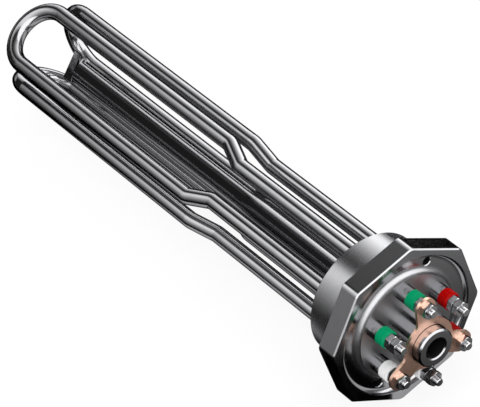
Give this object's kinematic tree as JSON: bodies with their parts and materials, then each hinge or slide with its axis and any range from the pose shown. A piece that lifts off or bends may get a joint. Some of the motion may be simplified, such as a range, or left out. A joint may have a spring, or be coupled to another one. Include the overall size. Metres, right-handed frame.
{
  "type": "screw plug immersion heater",
  "caption": "Screw plug immersion heater: hairpin tubular elements round a thermostat pocket in an octagonal plug, with terminal pins, nuts and a star bridge at the front.",
  "frame": {"origin": "on the heater's axis, in the sealing face where the flange meets the spigot", "axes": "+X along the axis from the flange towards the hairpins' bends, +Z square to one flat of the octagon, +Y to complete a right-handed frame"},
  "size_m": [0.3225, 0.08, 0.08],
  "materials": {
    "plug_steel": "turned and polished",
    "sheath_steel": "polished",
    "collar_steel": "turned and polished",
    "pocket_steel": "polished",
    "pin_steel": "bright",
    "nut_steel": "bright zinc",
    "copper": "polished copper",
    "bead_green": "gloss",
    "bead_white": "gloss",
    "bead_red": "gloss",
    "magnesia": "pressed powder",
    "coil_wire": "oxidised",
    "braze": "satin"
  },
  "bodies": {
    "root": {"plug_head": "plug_steel", "sheath_1": "sheath_steel", "sheath_2": "sheath_steel", "sheath_3": "sheath_steel", "bead_1": "bead_green", "bead_2": "bead_green", "bead_3": "bead_white", "bead_4": "bead_white", "bead_5": "bead_red", "bead_6": "bead_red", "terminal_pin_1": "pin_steel", "lower_nut_1": "nut_steel", "upper_nut_1": "nut_steel", "terminal_pin_2": "pin_steel", "lower_nut_2": "nut_steel", "upper_nut_2": "nut_steel", "terminal_pin_3": "pin_steel", "lower_nut_3": "nut_steel", "upper_nut_3": "nut_steel", "terminal_pin_4": "pin_steel", "lower_nut_4": "nut_steel", "upper_nut_4": "nut_steel", "terminal_pin_5": "pin_steel", "lower_nut_5": "nut_steel", "upper_nut_5": "nut_steel", "terminal_pin_6": "pin_steel", "lower_nut_6": "nut_steel", "upper_nut_6": "nut_steel", "star_bridge": "copper", "pocket_collar": "collar_steel", "pocket_tube": "pocket_steel", "magnesia_1": "magnesia", "coil_1": "coil_wire", "magnesia_2": "magnesia", "coil_2": "coil_wire", "magnesia_3": "magnesia", "coil_3": "coil_wire", "braze_rings": "braze"}
  },
  "joints": []
}
